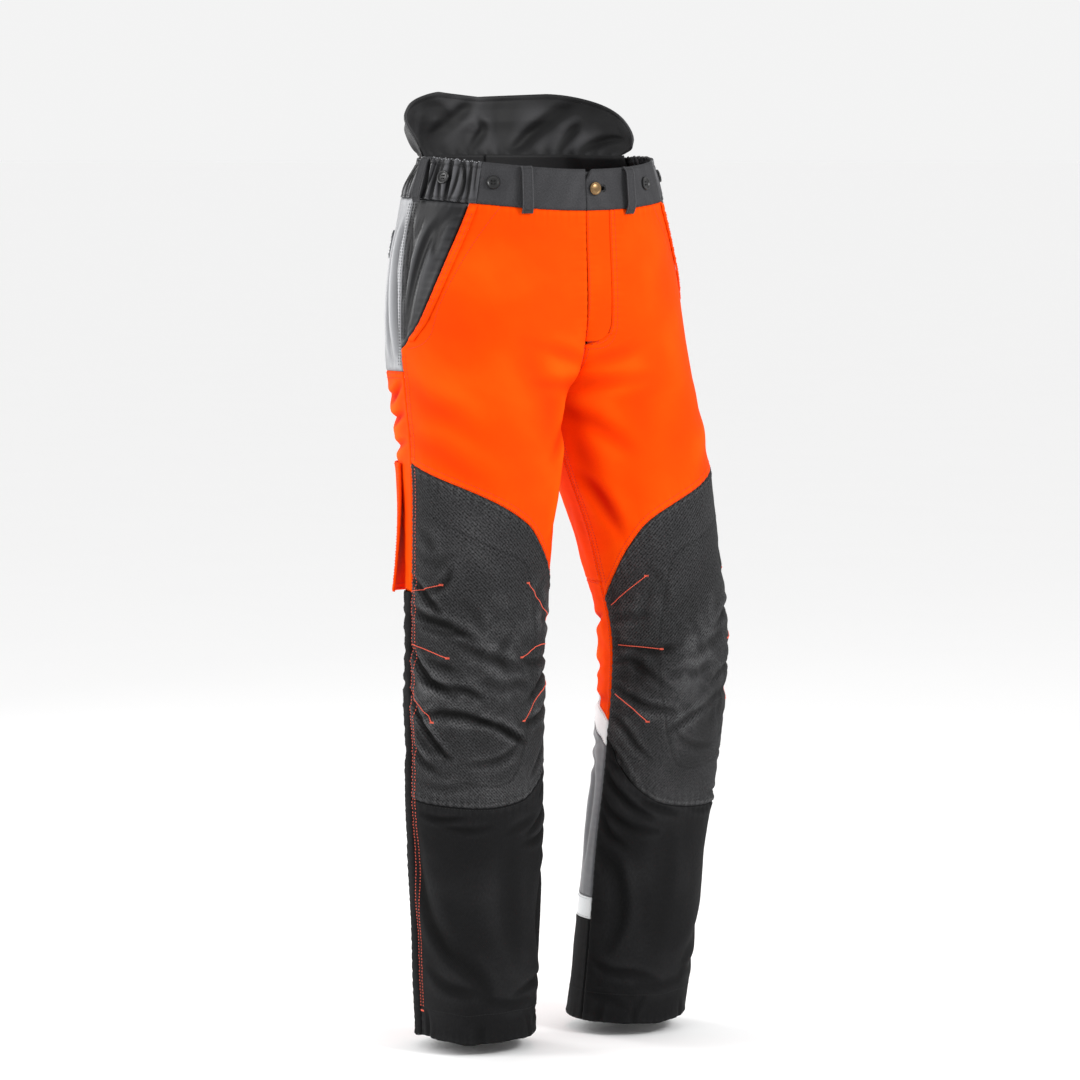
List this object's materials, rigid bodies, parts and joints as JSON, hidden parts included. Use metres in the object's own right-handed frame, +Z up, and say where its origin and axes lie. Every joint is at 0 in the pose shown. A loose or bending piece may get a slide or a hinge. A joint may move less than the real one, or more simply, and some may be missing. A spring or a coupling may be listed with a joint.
{
  "type": "protective work trousers",
  "caption": "Forestry work trousers with saw-protection pads, fly, brace buttons, pockets, reflective bands and a raised back flap; legs bend at hip and knee.",
  "frame": {"origin": "centre of the waist opening, level with the top edge of the waistband at the front", "axes": "+X to the wearer's left, -Y to the wearer's front, +Z up"},
  "size_m": [0.458, 0.2916, 1.1861],
  "materials": {
    "waistband": "matte grey twill, plain",
    "elastic": "dark grey, gathered over elastic",
    "orange_shell": "bright orange woven shell",
    "hip_panel": "dark grey stretch weave",
    "seat_grey": "mid grey stretch weave",
    "knee_fabric": "coarse textured charcoal weave",
    "shin_fabric": "smooth black weave",
    "calf_grey": "light grey stretch weave",
    "reflective_tape": "silver-white reflective tape",
    "flap_fabric": "charcoal twill, two layers",
    "saw_pad": "stacked pale protective knit",
    "lining": "dark grey mesh lining",
    "button_plastic": "black four-hole button",
    "tack_brass": "aged brass",
    "zip_metal": "dull zip metal"
  },
  "bodies": {
    "pelvis": {"waistband_front_right": "waistband", "waistband_elastic_right": "elastic", "belt_loop_front_right": "waistband", "belt_loop_side_right": "waistband", "brace_button_front_right": "button_plastic", "brace_button_side_right": "button_plastic", "hip_side_panel_right": "hip_panel", "pocket_welt_right": "orange_shell", "hip_lining_right": "lining", "seat_right": "seat_grey", "back_pocket_right": "seat_grey", "waistband_front_left": "waistband", "waistband_elastic_left": "elastic", "belt_loop_front_left": "waistband", "belt_loop_side_left": "waistband", "brace_button_front_left": "button_plastic", "brace_button_side_left": "button_plastic", "hip_side_panel_left": "hip_panel", "pocket_welt_left": "orange_shell", "hip_lining_left": "lining", "seat_left": "seat_grey", "back_pocket_left": "seat_grey", "waistband_back": "waistband", "waistband_underlap": "waistband", "belt_loop_back": "waistband", "tack_button_post": "tack_brass", "fly_shield": "lining", "zip_chain": "zip_metal"},
    "thigh_right": {"saw_pad_thigh_right": "saw_pad", "thigh_lining_back_right": "lining", "back_thigh_panel_right": "orange_shell", "front_upper_right": "orange_shell"},
    "thigh_left": {"saw_pad_thigh_left": "saw_pad", "thigh_lining_back_left": "lining", "back_thigh_panel_left": "orange_shell", "front_upper_left": "orange_shell"},
    "shin_right": {"knee_panel_right": "knee_fabric", "back_knee_panel_right": "orange_shell", "reflective_knee_band_right": "reflective_tape", "calf_panel_right": "calf_grey", "calf_lining_right": "lining", "reflective_ankle_band_right": "reflective_tape", "ankle_back_panel_right": "shin_fabric", "shin_panel_right": "shin_fabric"},
    "shin_left": {"knee_panel_left": "knee_fabric", "back_knee_panel_left": "orange_shell", "reflective_knee_band_left": "reflective_tape", "calf_panel_left": "calf_grey", "calf_lining_left": "lining", "reflective_ankle_band_left": "reflective_tape", "ankle_back_panel_left": "shin_fabric", "shin_panel_left": "shin_fabric"},
    "back_flap": {"kidney_flap": "flap_fabric", "kidney_pad": "lining"},
    "fly_cover": {"fly_cover": "orange_shell"},
    "tack_button_cap": {"tack_button_cap": "tack_brass"},
    "zip_slider": {"zip_slider": "zip_metal"},
    "zip_puller": {"zip_puller": "zip_metal"},
    "back_pocket_flap": {"back_pocket_flap_right": "seat_grey"},
    "ruler_pocket": {"ruler_pocket_right": "orange_shell"}
  },
  "joints": [
    {"name": "hip_right", "type": "hinge", "parent": "pelvis", "child": "thigh_right", "pos_m": [-0.1, -0.05, -0.2], "axis": [-1, 0, 0], "range_deg": [-15, 45], "deforming": ["front_upper_right", "back_thigh_panel_right"]},
    {"name": "knee_right", "type": "hinge", "parent": "thigh_right", "child": "shin_right", "pos_m": [-0.135, -0.09, -0.64], "axis": [1, 0, 0], "range_deg": [0, 80], "deforming": ["knee_panel_right", "back_knee_panel_right", "reflective_knee_band_right", "calf_panel_right"]},
    {"name": "hip_left", "type": "hinge", "parent": "pelvis", "child": "thigh_left", "pos_m": [0.1, -0.05, -0.2], "axis": [-1, 0, 0], "range_deg": [-15, 45], "deforming": ["front_upper_left", "back_thigh_panel_left"]},
    {"name": "knee_left", "type": "hinge", "parent": "thigh_left", "child": "shin_left", "pos_m": [0.135, -0.09, -0.64], "axis": [1, 0, 0], "range_deg": [0, 80], "deforming": ["knee_panel_left", "back_knee_panel_left", "reflective_knee_band_left", "calf_panel_left"]},
    {"name": "back_flap_fold", "type": "hinge", "parent": "pelvis", "child": "back_flap", "pos_m": [0, 0.115, 0.017], "axis": [-1, 0, 0], "range_deg": [-4, 30], "stiffness_Nm_per_rad": 1, "deforming": ["kidney_flap"]},
    {"name": "fly_open", "type": "hinge", "parent": "pelvis", "child": "fly_cover", "pos_m": [0.0342, -0.1285, -0.12], "axis": [0, 0.0684, 0.9977], "range_deg": [0, 60], "stiffness_Nm_per_rad": 0.05},
    {"name": "tack_button_turn", "type": "hinge", "parent": "pelvis", "child": "tack_button_cap", "pos_m": [0.012, -0.126, -0.024], "axis": [0, -1, 0], "continuous": true},
    {"name": "zip_slide", "type": "slide", "parent": "pelvis", "child": "zip_slider", "axis": [0, 0, -1], "range_m": [0, 0.135]},
    {"name": "zip_puller_swing", "type": "hinge", "parent": "zip_slider", "child": "zip_puller", "pos_m": [0, -0.1087, -0.0665], "axis": [-1, 0, 0], "range_deg": [0, 20]},
    {"name": "back_pocket_flap_lift", "type": "hinge", "parent": "pelvis", "child": "back_pocket_flap", "pos_m": [-0.1057, 0.1068, -0.0776], "axis": [0.9296, 0.3686, 0], "range_deg": [0, 110]},
    {"name": "ruler_pocket_swing", "type": "hinge", "parent": "thigh_right", "child": "ruler_pocket", "pos_m": [-0.1915, 0.0125, -0.3628], "axis": [0.587, 0.8096, 0], "range_deg": [0, 35]}
  ]
}
